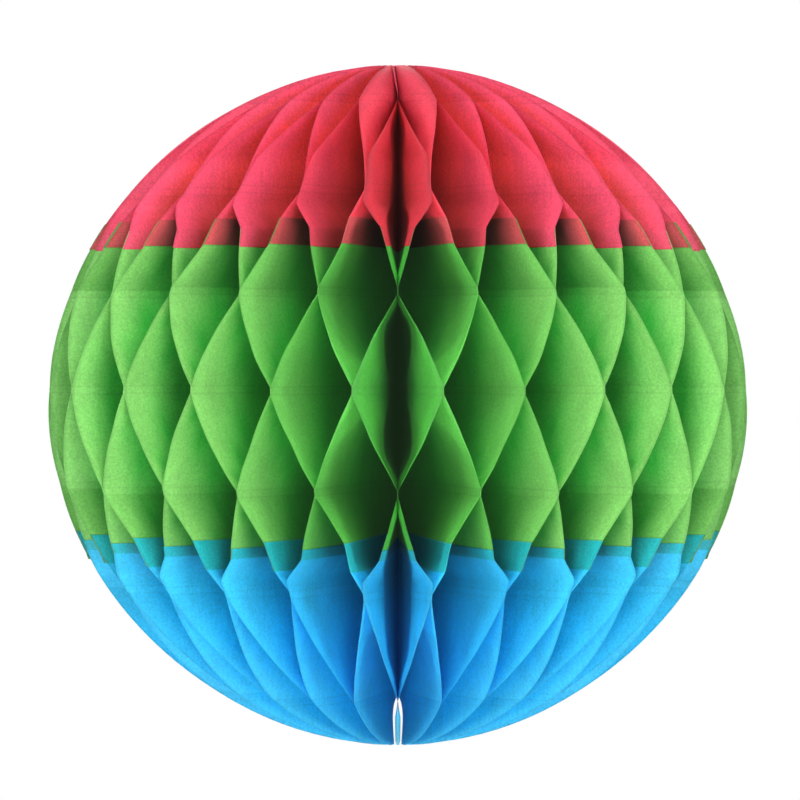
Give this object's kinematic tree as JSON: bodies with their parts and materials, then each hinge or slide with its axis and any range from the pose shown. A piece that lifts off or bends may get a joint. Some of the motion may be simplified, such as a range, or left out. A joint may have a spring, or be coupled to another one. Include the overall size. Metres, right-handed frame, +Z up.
{
  "type": "tissue paper ball",
  "caption": "Hanging honeycomb ball of tissue paper, its half-disc leaves glued line by line and fanned round one axis into diamond cells, in red, green and blue bands.",
  "frame": {"origin": "centre of the ball, on the line where the leaves are bound", "axes": "+Z up along the line where the leaves are bound, -Y towards the viewer in the picture, +X to the viewer's right"},
  "size_m": [0.2976, 0.298, 0.291],
  "materials": {
    "red_tissue": "matte, thin and translucent",
    "green_tissue": "matte, thin and translucent",
    "blue_tissue": "matte, thin and translucent"
  },
  "bodies": {
    "root": {"odd_leaves_red": "red_tissue", "odd_leaves_green": "green_tissue", "odd_leaves_blue": "blue_tissue", "even_leaves_red": "red_tissue", "even_leaves_green": "green_tissue", "even_leaves_blue": "blue_tissue"}
  },
  "joints": []
}
